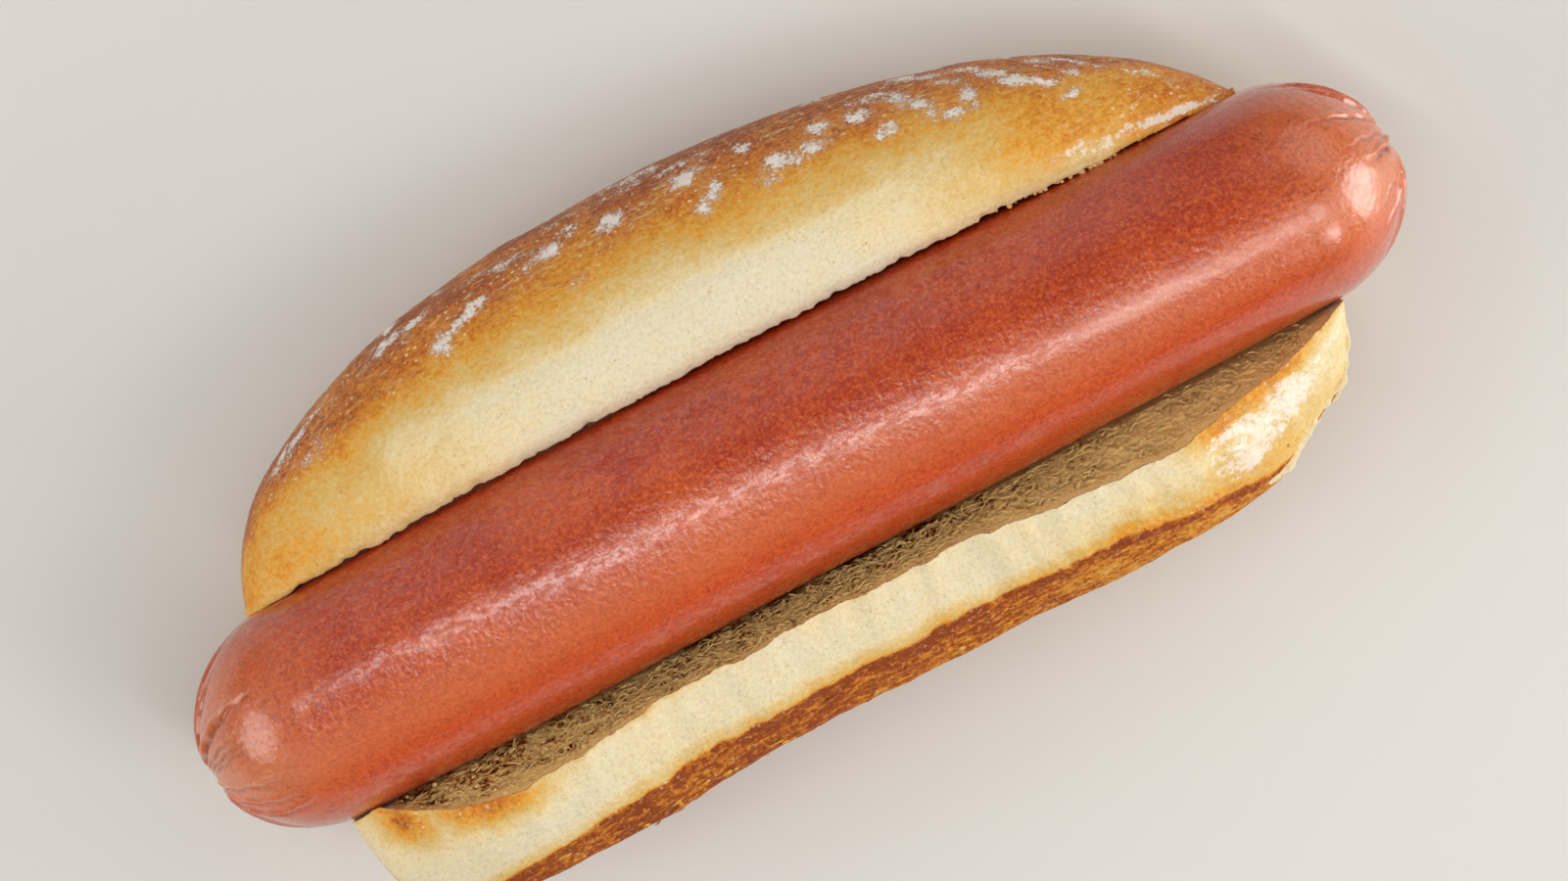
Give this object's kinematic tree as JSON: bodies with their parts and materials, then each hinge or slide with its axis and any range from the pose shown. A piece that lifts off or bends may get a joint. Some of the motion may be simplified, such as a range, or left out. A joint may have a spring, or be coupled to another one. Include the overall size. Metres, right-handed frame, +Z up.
{
  "type": "hot dog",
  "caption": "Hot dog: a soft side-cut bun with a browned domed crust, holding a large frankfurter that sticks out at both ends.",
  "frame": {"origin": "centre of the bounding box's bottom face, on the surface that the hot dog rests on", "axes": "+X along the sausage, +Y towards the domed half of the bun, +Z up, out of the bun's opening"},
  "size_m": [0.1722, 0.077, 0.0461],
  "materials": {
    "bread": null,
    "sausage": null
  },
  "bodies": {
    "root": {"bun": "bread", "sausage": "sausage"}
  },
  "joints": []
}
